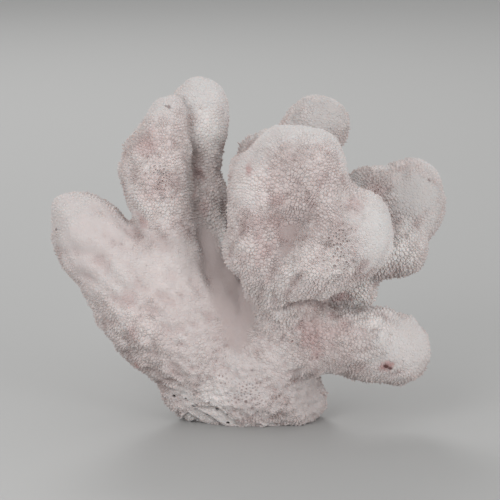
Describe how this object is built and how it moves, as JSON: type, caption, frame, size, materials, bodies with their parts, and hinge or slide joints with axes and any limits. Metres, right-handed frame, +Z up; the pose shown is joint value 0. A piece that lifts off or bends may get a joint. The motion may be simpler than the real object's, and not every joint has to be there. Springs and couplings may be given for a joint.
{
  "type": "cat's paw coral skeleton",
  "caption": "Bare white skeleton of a stout branching coral, with blunt spreading fingers on a broad trunk and a foot cut off flat so that it stands on a shelf.",
  "frame": {"origin": "middle of the flat cut under the foot, where the coral rests", "axes": "+Z up from the flat cut, +X along the spread of the branches to the right as seen from the front, -Y towards the front"},
  "size_m": [0.168, 0.0889, 0.1444],
  "materials": {
    "coral_skeleton": "matte"
  },
  "bodies": {
    "root": {"foot": "coral_skeleton", "trunk": "coral_skeleton", "left_branch": "coral_skeleton", "tall_branch": "coral_skeleton", "tall_back_branch": "coral_skeleton", "centre_branch": "coral_skeleton", "centre_right_branch": "coral_skeleton", "back_branch": "coral_skeleton", "right_back_branch": "coral_skeleton", "low_right_branch": "coral_skeleton"}
  },
  "joints": []
}
